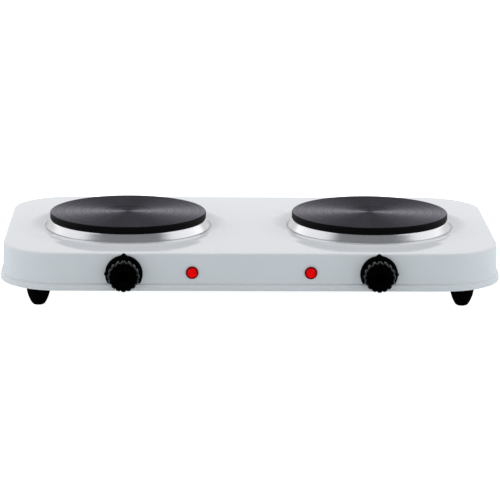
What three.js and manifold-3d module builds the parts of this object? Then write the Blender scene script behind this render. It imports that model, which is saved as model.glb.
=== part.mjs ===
// A twin electric hotplate: a pressed steel housing on four feet carries two cast iron plates,
// each with its own rotary thermostat, control knob and red pilot lamp.
// Millimetres. +Z is up, the controls face -Y, and the origin is on the worktop,
// under the centre of the whole outline.
import * as THREE from 'three';
import { mergeVertices } from 'three/addons/utils/BufferGeometryUtils.js';
import Module from 'manifold-3d';

const wasm = await Module();
wasm.setup();

// ---------------------------------------------------------------- driving dimensions

const GAP = 0.3; // air left between two pieces that touch
const SCREW_RADIUS = 1.8;
const SCREW_HOLE_RADIUS = 2.1;

// Housing, a pan pressed from enamelled sheet. Insets are measured inwards from the rim.
const SHEET = 0.8;
const RIM_HALF_WIDTH = 241.9;
const RIM_HALF_DEPTH = 137.1;
const RIM_CORNER_RADIUS = 59;
const RIM_Z = 22;
const LEDGE_Z = 28.3;
const LEDGE_WIDTH = 2.4;
const WALL_DRAFT = 0.5;
const TOP_Z = 58;
const TOP_FILLET = 2.5;
const CORNER_DIVISIONS = 4;

// Cooking plates and the shallow dish that each one stands in.
const PLATE_X = 120.35;
const PLATE_RADIUS = 77.5;
const PLATE_TOP_Z = 70.9;
const PLATE_LIP_HEIGHT = 6.6;
const DISH_RADIUS = 97;
const DISH_FLOOR_RADIUS = 84;
const DISH_DEPTH = 2;
const RING_RADIUS = 82;
const PLATE_HOLE_RADIUS = 76;
const ROUND_STEPS = 40;
const HIDDEN_STEPS = 24;

// Controls on the front wall.
const CONTROL_X = 121.2;
const CONTROL_Z = 38.5;
const DIAL_RADIUS = 17.9;
const DIAL_THICKNESS = 2.2;
const DIAL_FLAT_DROP = 9;
const KNOB_BACK_RADIUS = 15.6;
const KNOB_FRONT_RADIUS = 15.1;
const KNOB_LOBES = 16;
const KNOB_DEPTH = 13;
const KNOB_RUNNING_GAP = 0.9;
const SHAFT_RADIUS = 3;
const SHAFT_FLAT = 1.9;
const THERMOSTAT_SCREW_X = 8.6;

// Pilot lamps.
const LAMP_X = 56.45;
const LAMP_Z = 39.6;
const LENS_RADIUS = 6.05;
const LENS_BARREL_RADIUS = 4.2;

// Feet and base plate.
const FOOT_X = 204.3;
const FOOT_Y = 99.5;
const FOOT_RADIUS = 11.8;
const FOOT_BORE_FLOOR = 12;
const BASE_SHEET = 0.8;
const BASE_TOP_Z = LEDGE_Z - SHEET - GAP;
const BASE_Z = BASE_TOP_Z - BASE_SHEET;

// Cable inlet in the middle of the rear wall.
const GLAND_Z = 40;
const GLAND_BORE_RADIUS = 4.6;
const GLAND_NOSE = 6;

// Wiring and the earth screw's place on the base plate.
const WIRE_RADIUS = 1.3;
const EARTH_X = -34;
const EARTH_Y = 72;

// ---------------------------------------------------------------- derived positions

const WALL_Y = RIM_HALF_DEPTH - LEDGE_WIDTH;
const WALL_INNER_Y = WALL_Y - WALL_DRAFT - SHEET;
const DISH_Z = TOP_Z - DISH_DEPTH;
const DIAL_FRONT_Y = WALL_Y + GAP + DIAL_THICKNESS;
const KNOB_BACK_Y = DIAL_FRONT_Y + KNOB_RUNNING_GAP;
const KNOB_FRONT_Y = KNOB_BACK_Y + KNOB_DEPTH;
const GLAND_BACK_Y = WALL_Y + GLAND_NOSE;
const CENTRE_SHIFT_Y = (KNOB_FRONT_Y - GLAND_BACK_Y) / 2;
const PLATE_UNDER_Z = 55.2;
const COIL_Z = 60.6;
const SHIELD_Z = 50.5;
const TERMINAL_Z = 40.8;
const SIDES = [['left', -1], ['right', 1]];

// ---------------------------------------------------------------- finishes

function finish(color, roughness, metalness) {
  return { color, roughness, metalness };
}

const WHITE_ENAMEL = finish(0xdfe2e5, 0.18, 0);
const CAST_IRON = finish(0x26262a, 0.55, 0.4);
const STAINLESS = finish(0xb9bbbd, 0.3, 1);
const ZINC = finish(0xa4a7a8, 0.45, 0.9);
const ALUMINISED = finish(0xb0b2b0, 0.5, 0.8);
const BRASS = finish(0xb08d4a, 0.4, 0.9);
const BLACK_PLASTIC = finish(0x0b0b0d, 0.35, 0);
const BLACK_RUBBER = finish(0x080809, 0.7, 0);
const RED_LENS = finish(0xd80812, 0.12, 0);
const GLASS = finish(0xe8d8c8, 0.05, 0);
const CERAMIC = finish(0xe6e0d2, 0.6, 0);
const RESISTANCE_WIRE = finish(0x6d6a66, 0.6, 0.7);
const SLEEVE_WHITE = finish(0xe9e6dc, 0.8, 0);
const SLEEVE_BROWN = finish(0x6a3b22, 0.8, 0);
const SLEEVE_BLUE = finish(0x2f5d9c, 0.8, 0);
const SLEEVE_GREEN = finish(0x5e9a3c, 0.8, 0);

// ---------------------------------------------------------------- solids

// Six times the volume enclosed by an indexed triangle list; negative when it is inside out.
function enclosed(positions, triangles) {
  const a = new THREE.Vector3();
  const b = new THREE.Vector3();
  const c = new THREE.Vector3();
  let sum = 0;
  for (let i = 0; i < triangles.length; i += 3) {
    a.fromBufferAttribute(positions, triangles[i]);
    b.fromBufferAttribute(positions, triangles[i + 1]);
    c.fromBufferAttribute(positions, triangles[i + 2]);
    sum += a.dot(b.cross(c));
  }
  return sum;
}

// Closes a geometry by merging its seams and faces it outwards, ready for joining and cutting.
function solid(geometry) {
  geometry.deleteAttribute('normal');
  geometry.deleteAttribute('uv');
  const merged = mergeVertices(geometry, 1e-4);
  const index = merged.index.array;
  const kept = [];
  for (let i = 0; i < index.length; i += 3) {
    const [a, b, c] = [index[i], index[i + 1], index[i + 2]];
    if (a !== b && b !== c && c !== a) kept.push(a, b, c);
  }
  if (enclosed(merged.attributes.position, kept) < 0) kept.reverse();
  return new wasm.Manifold(new wasm.Mesh({
    numProp: 3,
    vertProperties: new Float32Array(merged.attributes.position.array),
    triVerts: new Uint32Array(kept),
  }));
}

function join(first, ...others) {
  return others.reduce((sum, piece) => sum.add(piece), first);
}

function cut(first, ...tools) {
  return tools.reduce((rest, tool) => rest.subtract(tool), first);
}

// A profile of [radius, height] points, turned about the Z axis.
function turned(profile, steps = ROUND_STEPS) {
  const points = profile.map(([r, z]) => new THREE.Vector2(r, z));
  const closed = profile[0][0] > 0 ? [...points, points[0].clone()] : points;
  return solid(new THREE.LatheGeometry(closed, steps).rotateX(Math.PI / 2));
}

function rod(radius, z0, z1, steps = 14, x = 0, y = 0) {
  const geometry = new THREE.CylinderGeometry(radius, radius, z1 - z0, steps).rotateX(Math.PI / 2);
  return solid(geometry.translate(x, y, (z0 + z1) / 2));
}

function block(x0, x1, y0, y1, z0, z1) {
  const geometry = new THREE.BoxGeometry(x1 - x0, y1 - y0, z1 - z0);
  return solid(geometry.translate((x0 + x1) / 2, (y0 + y1) / 2, (z0 + z1) / 2));
}

function extruded(shape, z0, z1, curveSegments = 6) {
  const geometry = new THREE.ExtrudeGeometry(shape, { depth: z1 - z0, bevelEnabled: false, curveSegments });
  return solid(geometry.translate(0, 0, z0));
}

// A stack of outlines with the same number of points, skinned and capped: levels are [outline, z].
function loft(levels) {
  const count = levels[0][0].length;
  const positions = levels.flatMap(([outline, z]) => outline.flatMap((p) => [p.x, p.y, z]));
  const triangles = [];
  for (let level = 0; level < levels.length - 1; level += 1) {
    for (let i = 0; i < count; i += 1) {
      const a = level * count + i;
      const b = level * count + (i + 1) % count;
      triangles.push(a, b, b + count, a, b + count, a + count);
    }
  }
  const top = (levels.length - 1) * count;
  for (const [a, b, c] of THREE.ShapeUtils.triangulateShape(levels[0][0], [])) {
    triangles.push(c, b, a);
  }
  for (const [a, b, c] of THREE.ShapeUtils.triangulateShape(levels.at(-1)[0], [])) {
    triangles.push(top + a, top + b, top + c);
  }
  const geometry = new THREE.BufferGeometry();
  geometry.setAttribute('position', new THREE.Float32BufferAttribute(positions, 3));
  geometry.setIndex(triangles);
  return solid(geometry);
}

// ---------------------------------------------------------------- outlines

function roundedRectangle(halfWidth, halfDepth, radius) {
  const shape = new THREE.Shape();
  shape.absarc(halfWidth - radius, halfDepth - radius, radius, 0, Math.PI / 2);
  shape.absarc(radius - halfWidth, halfDepth - radius, radius, Math.PI / 2, Math.PI);
  shape.absarc(radius - halfWidth, radius - halfDepth, radius, Math.PI, Math.PI * 1.5);
  shape.absarc(halfWidth - radius, radius - halfDepth, radius, Math.PI * 1.5, Math.PI * 2);
  return shape;
}

// The housing's plan outline, moved inwards from the rim by an inset.
function housingOutline(inset) {
  const shape = roundedRectangle(RIM_HALF_WIDTH - inset, RIM_HALF_DEPTH - inset, RIM_CORNER_RADIUS - inset);
  return shape.getPoints(CORNER_DIVISIONS);
}

function slot(x, y, length, width) {
  const shape = new THREE.Shape();
  shape.absarc(x, y + (length - width) / 2, width / 2, 0, Math.PI);
  shape.absarc(x, y - (length - width) / 2, width / 2, Math.PI, Math.PI * 2);
  return shape;
}

function hexagon(acrossFlats) {
  const corners = Array.from({ length: 6 }, (_, i) => {
    const angle = i * Math.PI / 3;
    const radius = acrossFlats / Math.sqrt(3);
    return new THREE.Vector2(radius * Math.cos(angle), radius * Math.sin(angle));
  });
  return new THREE.Shape(corners);
}

// A round grip whose edge is a ring of equal lobes, with narrow valleys between them.
function lobedOutline(radius) {
  const lobe = [0.885, 0.93, 1, 1, 0.93];
  const count = KNOB_LOBES * lobe.length;
  return Array.from({ length: count }, (_, i) => {
    const reach = radius * lobe[i % lobe.length];
    const angle = (i / count) * Math.PI * 2 - Math.PI / 2 - Math.PI / KNOB_LOBES;
    return new THREE.Vector2(reach * Math.cos(angle), reach * Math.sin(angle));
  });
}

// A round bar with one side milled flat, as a plan outline.
function shaftOutline(radius, flat) {
  const half = Math.acos(flat / radius);
  const shape = new THREE.Shape();
  shape.absarc(0, 0, radius, Math.PI / 2 + half, Math.PI * 2.5 - half);
  return shape;
}

// ---------------------------------------------------------------- the scene graph

const hotplate = new THREE.Group();
hotplate.name = 'twin_hotplate';
hotplate.position.y = CENTRE_SHIFT_Y;

// Adds one piece as a named mesh, at a place in its parent group.
function add(name, piece, look, parent = hotplate, x = 0, y = 0, z = 0) {
  const { vertProperties, triVerts } = piece.getMesh();
  const geometry = new THREE.BufferGeometry();
  geometry.setAttribute('position', new THREE.BufferAttribute(vertProperties, 3));
  geometry.setIndex(new THREE.BufferAttribute(triVerts, 1));
  geometry.computeVertexNormals();
  const mesh = new THREE.Mesh(geometry, new THREE.MeshStandardMaterial(look));
  mesh.name = name;
  mesh.position.set(x, y, z);
  parent.add(mesh);
}

// A group on the front wall: its own +Z points out at the user and its own +Y points up.
function frontGroup(x, z) {
  const group = new THREE.Group();
  group.rotation.x = Math.PI / 2;
  group.position.set(x, 0, z);
  hotplate.add(group);
  return group;
}

// A tool that drills straight through the front wall, in the housing's own frame.
function frontHole(radius, x, z, steps = 14) {
  const geometry = new THREE.CylinderGeometry(radius, radius, 12, steps);
  return solid(geometry.translate(x, -WALL_Y, z));
}

// ---------------------------------------------------------------- housing

function housingSkin(sheet) {
  const wall = LEDGE_WIDTH + sheet;
  const fillet = TOP_FILLET;
  const levels = [[housingOutline(sheet), sheet > 0 ? RIM_Z - 1 : RIM_Z]];
  levels.push([housingOutline(sheet), LEDGE_Z - sheet - 0.6]);
  levels.push([housingOutline(sheet + 0.6), LEDGE_Z - sheet]);
  levels.push([housingOutline(wall), LEDGE_Z - sheet]);
  for (const angle of [0, 30, 60, 90].map(THREE.MathUtils.degToRad)) {
    const inset = wall + WALL_DRAFT + (fillet - sheet) * (1 - Math.cos(angle));
    levels.push([housingOutline(inset), TOP_Z - fillet + (fillet - sheet) * Math.sin(angle)]);
  }
  return loft(levels);
}

// The space over a dish, or under the dented sheet when it is lowered by the sheet's thickness.
function dishSpace(sheet) {
  return turned([
    [0, DISH_Z - sheet],
    [DISH_FLOOR_RADIUS + sheet / 2, DISH_Z - sheet],
    [DISH_RADIUS + sheet / 2, TOP_Z - sheet],
    [DISH_RADIUS + sheet / 2, TOP_Z + 1],
    [0, TOP_Z + 1],
  ]);
}

function makeHousing() {
  let outer = housingSkin(0);
  let inner = housingSkin(SHEET);
  for (const [, side] of SIDES) {
    outer = outer.subtract(dishSpace(0).translate(side * PLATE_X, 0, 0));
    inner = inner.subtract(dishSpace(SHEET).translate(side * PLATE_X, 0, 0));
  }
  let shell = outer.subtract(inner);
  for (const [, side] of SIDES) {
    shell = cut(
      shell,
      rod(PLATE_HOLE_RADIUS, DISH_Z - 5, TOP_Z, ROUND_STEPS, side * PLATE_X),
      frontHole(SHAFT_RADIUS + 1.3, side * CONTROL_X, CONTROL_Z),
      frontHole(SCREW_HOLE_RADIUS, side * CONTROL_X - THERMOSTAT_SCREW_X, CONTROL_Z, 8),
      frontHole(SCREW_HOLE_RADIUS, side * CONTROL_X + THERMOSTAT_SCREW_X, CONTROL_Z, 8),
      frontHole(LENS_BARREL_RADIUS + GAP, side * LAMP_X, LAMP_Z),
    );
  }
  const inlet = new THREE.CylinderGeometry(GLAND_BORE_RADIUS + 1.7, GLAND_BORE_RADIUS + 1.7, 12, 18);
  return shell.subtract(solid(inlet.translate(0, WALL_Y, GLAND_Z)));
}

// A flat closing plate that seats against the step inside the rim, slotted for cooling air.
function makeBasePlate() {
  const outline = housingOutline(SHEET + 0.4);
  const tools = [];
  for (const [, side] of SIDES) {
    tools.push(rod(3.4, BASE_Z - 1, BASE_TOP_Z + 1, 14, side * PLATE_X));
    for (const end of [-1, 1]) {
      tools.push(rod(SCREW_HOLE_RADIUS, BASE_Z - 1, BASE_TOP_Z + 1, 8, side * FOOT_X, end * FOOT_Y));
      for (const i of [-1, 0, 1]) {
        tools.push(extruded(slot(side * PLATE_X + i * 16, end * 48, 46, 3.6), BASE_Z - 1, BASE_TOP_Z + 1, 2));
      }
    }
  }
  tools.push(rod(SCREW_HOLE_RADIUS, BASE_Z - 1, BASE_TOP_Z + 1, 8, EARTH_X, EARTH_Y));
  return cut(loft([[outline, BASE_Z], [outline, BASE_TOP_Z]]), ...tools);
}

// ---------------------------------------------------------------- feet

// Bell-shaped foot with a blind hole for its screw.
function makeFoot() {
  const top = BASE_Z - GAP;
  return turned([
    [0, 0], [4.2, 0], [5.8, 0.9], [8.2, 4.6], [10.2, 9.6], [11.4, 15.2],
    [FOOT_RADIUS, 22], [FOOT_RADIUS, top], [SCREW_HOLE_RADIUS, top], [SCREW_HOLE_RADIUS, FOOT_BORE_FLOOR],
    [0, FOOT_BORE_FLOOR],
  ], 18);
}

function makeFootScrew() {
  const head = BASE_TOP_Z + GAP;
  const tip = FOOT_BORE_FLOOR + 1;
  return turned([[0, tip], [SCREW_RADIUS, tip], [SCREW_RADIUS, head], [3.6, head], [3.6, head + 1.3],
    [2.4, head + 2.1], [0, head + 2.1]], 8);
}

function addFeet() {
  for (const [end, y] of [['front', -FOOT_Y], ['rear', FOOT_Y]]) {
    for (const [side, sign] of SIDES) {
      add(`foot_${end}_${side}`, makeFoot(), BLACK_RUBBER, hotplate, sign * FOOT_X, y);
      add(`foot_screw_${end}_${side}`, makeFootScrew(), ZINC, hotplate, sign * FOOT_X, y);
    }
  }
}

// ---------------------------------------------------------------- cooking plates

// Cast iron: a flat heated face with a low unheated middle, an overhanging lip, and below it
// a skirt and a centre boss that leave a ring-shaped trough for the element.
function makeCookingPlate() {
  const lip = PLATE_TOP_Z - PLATE_LIP_HEIGHT;
  return turned([
    [0, PLATE_TOP_Z - 0.5], [23, PLATE_TOP_Z - 0.5], [23.6, PLATE_TOP_Z],
    [PLATE_RADIUS - 1.2, PLATE_TOP_Z], [PLATE_RADIUS - 0.3, PLATE_TOP_Z - 0.5],
    [PLATE_RADIUS, PLATE_TOP_Z - 1.4], [PLATE_RADIUS - 0.3, lip], [74.2, lip],
    [73.4, PLATE_UNDER_Z], [69.4, PLATE_UNDER_Z], [69.4, 63.2], [13, 63.2], [13, PLATE_UNDER_Z],
    [3.2, PLATE_UNDER_Z], [3.2, 65], [0, 65],
  ].reverse());
}

// Brushed stainless spill ring: hooked under the lip, flaring out to the dish floor.
function makeTrimRing() {
  const hook = PLATE_TOP_Z - PLATE_LIP_HEIGHT - GAP;
  const foot = DISH_Z + GAP;
  return turned([
    [RING_RADIUS, foot], [RING_RADIUS, foot + 0.7], [79.6, 60.4], [77.6, hook - 0.3], [76.9, hook],
    [74.8, hook], [74.8, hook - 0.6], [76.6, hook - 0.6], [78.9, 60.1], [81, foot],
  ]);
}

// Spiral resistance coil with both tails turned down to the terminal block.
const COIL_INNER = 24;
const COIL_OUTER = 60;
const COIL_TURNS = 3;

function makeHeatingCoil() {
  const steps = 14 * COIL_TURNS;
  const points = [new THREE.Vector3(0, -COIL_INNER, 46), new THREE.Vector3(0, -COIL_INNER, 54)];
  for (let i = 0; i <= steps; i += 1) {
    const part = i / steps;
    const angle = part * COIL_TURNS * Math.PI * 2 - Math.PI / 2;
    const radius = COIL_INNER + part * (COIL_OUTER - COIL_INNER);
    points.push(new THREE.Vector3(radius * Math.cos(angle), radius * Math.sin(angle), COIL_Z));
  }
  points.push(new THREE.Vector3(0, -COIL_OUTER, 54), new THREE.Vector3(0, -COIL_OUTER, 46));
  return tube(points, 1.6, 5, steps + 12);
}

// A round bar or sleeved wire that follows a smooth curve through a few points.
function tube(points, radius, sides, steps) {
  const section = Array.from({ length: sides }, (_, i) => {
    const angle = (i / sides) * Math.PI * 2;
    return new THREE.Vector2(radius * Math.cos(angle), radius * Math.sin(angle));
  });
  const extrudePath = new THREE.CatmullRomCurve3(points, false, 'centripetal');
  return solid(new THREE.ExtrudeGeometry(new THREE.Shape(section), { extrudePath, steps }));
}

// Insulating disc that closes the trough under the coil.
function makeInsulationDisc() {
  const disc = turned([[14, 55.6], [68.8, 55.6], [68.8, 57.8], [14, 57.8]], HIDDEN_STEPS);
  return cut(
    disc,
    rod(2.6, 50, 60, 8, 0, -COIL_INNER),
    rod(2.6, 50, 60, 8, 0, -COIL_OUTER),
  );
}

// Shallow aluminised pan that keeps the plate's heat off the wiring.
function makeHeatShield() {
  const pan = turned([
    [3.4, SHIELD_Z], [80, SHIELD_Z], [87, 55], [86.2, 55], [79.8, SHIELD_Z + 0.6], [3.4, SHIELD_Z + 0.6],
  ], HIDDEN_STEPS);
  return cut(
    pan,
    rod(3, 48, 53, 8, 0, -COIL_INNER),
    rod(3, 48, 53, 8, 0, -COIL_OUTER),
  );
}

// Long stud from the plate's boss down through the base plate.
function makePlateStud() {
  return rod(2.9, RIM_Z + 0.2, 64.6, 12);
}

function makeNut(topZ) {
  return cut(extruded(hexagon(10), topZ - 4, topZ), rod(3.2, topZ - 5, topZ + 1, 12));
}

// Ceramic block under the shield, with a hole for each tail of the coil.
function makePlateTerminal() {
  const body = block(-7, 7, -66, -18, TERMINAL_Z, SHIELD_Z - GAP);
  const bores = [COIL_INNER, COIL_OUTER].map((y) => rod(2, TERMINAL_Z + 3, 60, 8, 0, -y));
  const waist = [-1, 1].map((side) => block(side * 7 - 2, side * 7 + 2, -50, -34, 30, 60));
  return cut(body, ...bores, ...waist);
}

function addPlate(side, x) {
  const place = [hotplate, x];
  add(`cooking_plate_${side}`, makeCookingPlate(), CAST_IRON, ...place);
  add(`trim_ring_${side}`, makeTrimRing(), STAINLESS, ...place);
  add(`heating_coil_${side}`, makeHeatingCoil(), RESISTANCE_WIRE, ...place);
  add(`insulation_disc_${side}`, makeInsulationDisc(), CERAMIC, ...place);
  add(`heat_shield_${side}`, makeHeatShield(), ALUMINISED, ...place);
  add(`plate_stud_${side}`, makePlateStud(), ZINC, ...place);
  add(`shield_nut_${side}`, makeNut(SHIELD_Z - GAP), ZINC, ...place);
  add(`base_nut_${side}`, makeNut(BASE_Z - GAP), ZINC, ...place);
  add(`plate_terminal_${side}`, makePlateTerminal(), CERAMIC, ...place);
}

// ---------------------------------------------------------------- controls

// Depths below are measured outwards from the housing's centre plane, along the control's axis.
const BRACKET_OUTER = WALL_INNER_Y - GAP;
const BRACKET_INNER = BRACKET_OUTER - 1.2;
const THERMOSTAT_FRONT = BRACKET_INNER - 3.6;
const THERMOSTAT_BACK = THERMOSTAT_FRONT - 17;

// Fixed dial plate: a disc cut flat above the rim, with a pointed index at the top
// and a small tick at the outer side.
function makeDialPlate(sign) {
  const shape = new THREE.Shape();
  const flat = Math.asin(DIAL_FLAT_DROP / DIAL_RADIUS);
  const top = Math.PI / 2;
  const index = 0.17;
  shape.absarc(0, 0, DIAL_RADIUS, -flat, top - index);
  shape.lineTo(0.9, DIAL_RADIUS + 2.3);
  shape.lineTo(-0.9, DIAL_RADIUS + 2.3);
  shape.absarc(0, 0, DIAL_RADIUS, top + index, Math.PI + flat);
  const disc = extruded(shape, WALL_Y + GAP, DIAL_FRONT_Y, 9);
  const tick = rod(1, WALL_Y + GAP, DIAL_FRONT_Y, 10, sign * DIAL_RADIUS);
  const screws = [-1, 1].map((side) => {
    return rod(SCREW_HOLE_RADIUS, 0, 200, 8, side * THERMOSTAT_SCREW_X);
  });
  return cut(join(disc, tick), rod(SHAFT_RADIUS + 0.8, 0, 200), ...screws);
}

// Moulded grip: sixteen tapering lobes, a rounded front edge, hollow behind, on a D-shaped bore.
function makeKnob() {
  const back = KNOB_BACK_Y;
  const front = KNOB_FRONT_Y;
  const grip = loft([
    [lobedOutline(KNOB_BACK_RADIUS), back],
    [lobedOutline(KNOB_FRONT_RADIUS + 0.2), front - 2],
    [lobedOutline(KNOB_FRONT_RADIUS - 0.3), front - 0.7],
    [lobedOutline(KNOB_FRONT_RADIUS - 1.4), front],
  ]);
  const hollow = cut(rod(12.3, back - 1, front - 3, 24), rod(4.9, back - 2, front));
  const bore = extruded(shaftOutline(SHAFT_RADIUS + GAP, SHAFT_FLAT + GAP), back - 1, front - 2.5);
  return cut(grip, hollow, bore);
}

// The thermostat's turning spindle, with a flat that drives the knob.
function makeShaft() {
  const round = rod(SHAFT_RADIUS, THERMOSTAT_BACK + 5, KNOB_BACK_Y - 1);
  const flatted = extruded(shaftOutline(SHAFT_RADIUS, SHAFT_FLAT), KNOB_BACK_Y - 1.01, KNOB_FRONT_Y - 3);
  return join(round, flatted);
}

// Steel yoke: a plate against the front wall and two cheeks that hold the ceramic body.
function makeThermostatBracket() {
  const plate = block(-15.2, 15.2, -9.5, 9.5, BRACKET_INNER, BRACKET_OUTER);
  const cheeks = [-1, 1].map((side) => {
    const inner = side * 14;
    const outer = side * 15.2;
    return block(Math.min(inner, outer), Math.max(inner, outer), -6, 6, THERMOSTAT_BACK + 3, BRACKET_OUTER);
  });
  const screws = [-1, 1].map((side) => rod(SCREW_HOLE_RADIUS, 0, 200, 8, side * THERMOSTAT_SCREW_X));
  return cut(join(plate, ...cheeks), rod(SHAFT_RADIUS + 1, 0, 200), ...screws);
}

// Ceramic switch body with chamfered corners and a blind bearing for the spindle.
function makeThermostatBody() {
  const half = 13.6;
  const chamfer = 3;
  const shape = new THREE.Shape();
  shape.moveTo(half, chamfer - 9.6);
  shape.lineTo(half, 9.6 - chamfer);
  shape.lineTo(half - chamfer, 9.6);
  shape.lineTo(chamfer - half, 9.6);
  shape.lineTo(-half, 9.6 - chamfer);
  shape.lineTo(-half, chamfer - 9.6);
  shape.lineTo(chamfer - half, -9.6);
  shape.lineTo(half - chamfer, -9.6);
  const body = extruded(shape, THERMOSTAT_BACK, THERMOSTAT_FRONT);
  const waist = block(-5, 5, 6, 12, THERMOSTAT_BACK + 4, THERMOSTAT_FRONT - 4);
  return cut(body, waist, rod(SHAFT_RADIUS + GAP, THERMOSTAT_BACK + 4, THERMOSTAT_FRONT + 1));
}

// Pan-head screw through the dial plate, the wall and the yoke.
function makeThermostatScrew() {
  const head = DIAL_FRONT_Y + GAP;
  const tip = THERMOSTAT_FRONT + GAP;
  return turned([[0, tip], [SCREW_RADIUS, tip], [SCREW_RADIUS, head], [3, head], [3, head + 1.1],
    [2, head + 1.7], [0, head + 1.7]], 10);
}

function addControl(side, sign) {
  const group = frontGroup(sign * CONTROL_X, CONTROL_Z);
  add(`dial_plate_${side}`, makeDialPlate(sign), BLACK_PLASTIC, group);
  add(`knob_${side}`, makeKnob(), BLACK_PLASTIC, group);
  add(`thermostat_shaft_${side}`, makeShaft(), ZINC, group);
  add(`thermostat_bracket_${side}`, makeThermostatBracket(), ZINC, group);
  add(`thermostat_body_${side}`, makeThermostatBody(), CERAMIC, group);
  add(`thermostat_screw_${side}_inner`, makeThermostatScrew(), ZINC, group, -sign * THERMOSTAT_SCREW_X);
  add(`thermostat_screw_${side}_outer`, makeThermostatScrew(), ZINC, group, sign * THERMOSTAT_SCREW_X);
}

// ---------------------------------------------------------------- pilot lamps

// Domed lens with a flange, and a hollow barrel that passes through the wall.
function makeLampLens() {
  const face = WALL_Y + GAP;
  const end = WALL_INNER_Y - 8;
  return turned([
    [0, face + 3.2], [2.4, face + 2.9], [4, face + 2], [4.6, face + 1.3], [LENS_RADIUS - 0.4, face + 1.1],
    [LENS_RADIUS, face + 0.7], [LENS_RADIUS, face], [LENS_BARREL_RADIUS, face],
    [LENS_BARREL_RADIUS, end], [3.2, end], [3.2, face - 0.5], [0, face - 0.5],
  ].reverse(), 18);
}

function makeNeonLamp() {
  const tip = WALL_INNER_Y;
  const end = WALL_INNER_Y - 15;
  return turned([[0, end], [2.6, end], [2.7, tip - 3], [1.6, tip - 1.2], [0, tip - 0.8]], 12);
}

// Push-on spring washer behind the wall.
function makeLampClip() {
  const face = WALL_INNER_Y - GAP;
  const hole = LENS_BARREL_RADIUS + GAP;
  return turned([[hole, face - 1.6], [hole + 0.5, face - 1.6], [8, face - 0.6], [8, face],
    [hole, face - 0.9]], 14);
}

function addLamp(side, sign) {
  const group = frontGroup(sign * LAMP_X, LAMP_Z);
  add(`lamp_lens_${side}`, makeLampLens(), RED_LENS, group);
  add(`neon_lamp_${side}`, makeNeonLamp(), GLASS, group);
  add(`lamp_clip_${side}`, makeLampClip(), ZINC, group);
}

// ---------------------------------------------------------------- supply and wiring

// Grommet in the rear wall, grooved to grip the sheet's edge, with a free bore for the cord.
function makeCableGland() {
  const outside = WALL_Y + GAP;
  const inside = WALL_INNER_Y - GAP;
  const neck = GLAND_BORE_RADIUS + 1.4;
  return turned([
    [GLAND_BORE_RADIUS, inside - 3], [9.4, inside - 3], [9.4, inside], [neck, inside], [neck, outside],
    [10, outside], [9.6, outside + 2.2], [7.6, outside + 3], [6.9, GLAND_BACK_Y],
    [GLAND_BORE_RADIUS, GLAND_BACK_Y],
  ], 18);
}

const BLOCK_FRONT_Y = 94;
const BLOCK_BACK_Y = 108;
const POLE_Z = 35;

// Ceramic terminal block: three poles, each with a bore for its screw.
function makeTerminalBlock() {
  const floor = BASE_TOP_Z + GAP;
  const body = block(-22, 22, BLOCK_FRONT_Y, BLOCK_BACK_Y, floor, floor + 12.5);
  const middle = (BLOCK_FRONT_Y + BLOCK_BACK_Y) / 2;
  const bores = [-14, 0, 14].map((x) => rod(2.6, POLE_Z, 50, 8, x, middle));
  const notches = [-7, 7].map((x) => block(x - 1, x + 1, 90, 112, POLE_Z + 2, 50));
  return cut(body, ...bores, ...notches);
}

function makeEarthScrew() {
  const head = BASE_TOP_Z + GAP;
  return turned([[0, BASE_Z - 2], [SCREW_RADIUS, BASE_Z - 2], [SCREW_RADIUS, head], [3.6, head],
    [3.6, head + 2.4], [0, head + 2.4]], 10);
}

// Each wire is a list of places it is led through, for the right-hand side.
function wirePaths() {
  const back = GAP * 2 - THERMOSTAT_BACK;
  const under = TERMINAL_Z - GAP * 2;
  const pole = BLOCK_FRONT_Y - GAP * 2;
  return {
    live_wire: [[14, pole, POLE_Z], [14, 84, POLE_Z], [26, 0, 30.5], [70, -88, 30.5], [110, -98, 38],
      [114, -105, 44], [114, back, 44]],
    neutral_wire: [[4, pole, POLE_Z], [4, 84, POLE_Z], [34, 40, 38], [90, -8, 34],
      [PLATE_X, -COIL_INNER, 35], [PLATE_X, -COIL_INNER, under]],
    element_wire: [[128, back, 34], [128, -104, 34], [124, -76, 31], [PLATE_X, -COIL_OUTER, 34],
      [PLATE_X, -COIL_OUTER, under]],
    lamp_wire: [[LAMP_X, 15.6 - WALL_INNER_Y, LAMP_Z], [LAMP_X + 1, -112, LAMP_Z], [80, -103, 43],
      [102, -101, 38], [109, -105, 32], [109, back, 32]],
  };
}

function addWiring() {
  const looks = {
    live_wire: SLEEVE_BROWN, neutral_wire: SLEEVE_BLUE, element_wire: SLEEVE_WHITE, lamp_wire: SLEEVE_WHITE,
  };
  for (const [kind, path] of Object.entries(wirePaths())) {
    for (const [side, sign] of SIDES) {
      const points = path.map(([x, y, z]) => new THREE.Vector3(sign * x, y, z));
      add(`${kind}_${side}`, tube(points, WIRE_RADIUS, 5, 14), looks[kind]);
    }
  }
  const earth = [[-18, BLOCK_FRONT_Y - GAP * 2, 32], [-18, 88, 31.5], [EARTH_X, 84, 29.4],
    [EARTH_X, EARTH_Y + 4.4, 29.2]].map((p) => new THREE.Vector3(...p));
  add('earth_wire', tube(earth, WIRE_RADIUS, 5, 8), SLEEVE_GREEN);
  add('earth_screw', makeEarthScrew(), BRASS, hotplate, EARTH_X, EARTH_Y);
  add('terminal_block', makeTerminalBlock(), CERAMIC);
}

function addCableGland() {
  const group = new THREE.Group();
  group.rotation.x = -Math.PI / 2;
  group.position.z = GLAND_Z;
  hotplate.add(group);
  add('cable_gland', makeCableGland(), BLACK_RUBBER, group);
}

// ---------------------------------------------------------------- assembly

add('housing', makeHousing(), WHITE_ENAMEL);
add('base_plate', makeBasePlate(), ZINC);
addFeet();
for (const [side, sign] of SIDES) {
  addPlate(side, sign * PLATE_X);
  addControl(side, sign);
  addLamp(side, sign);
}
addCableGland();
addWiring();

export default hotplate;
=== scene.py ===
import math

import bmesh
import bpy
from mathutils import Matrix, Quaternion, Vector


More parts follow.
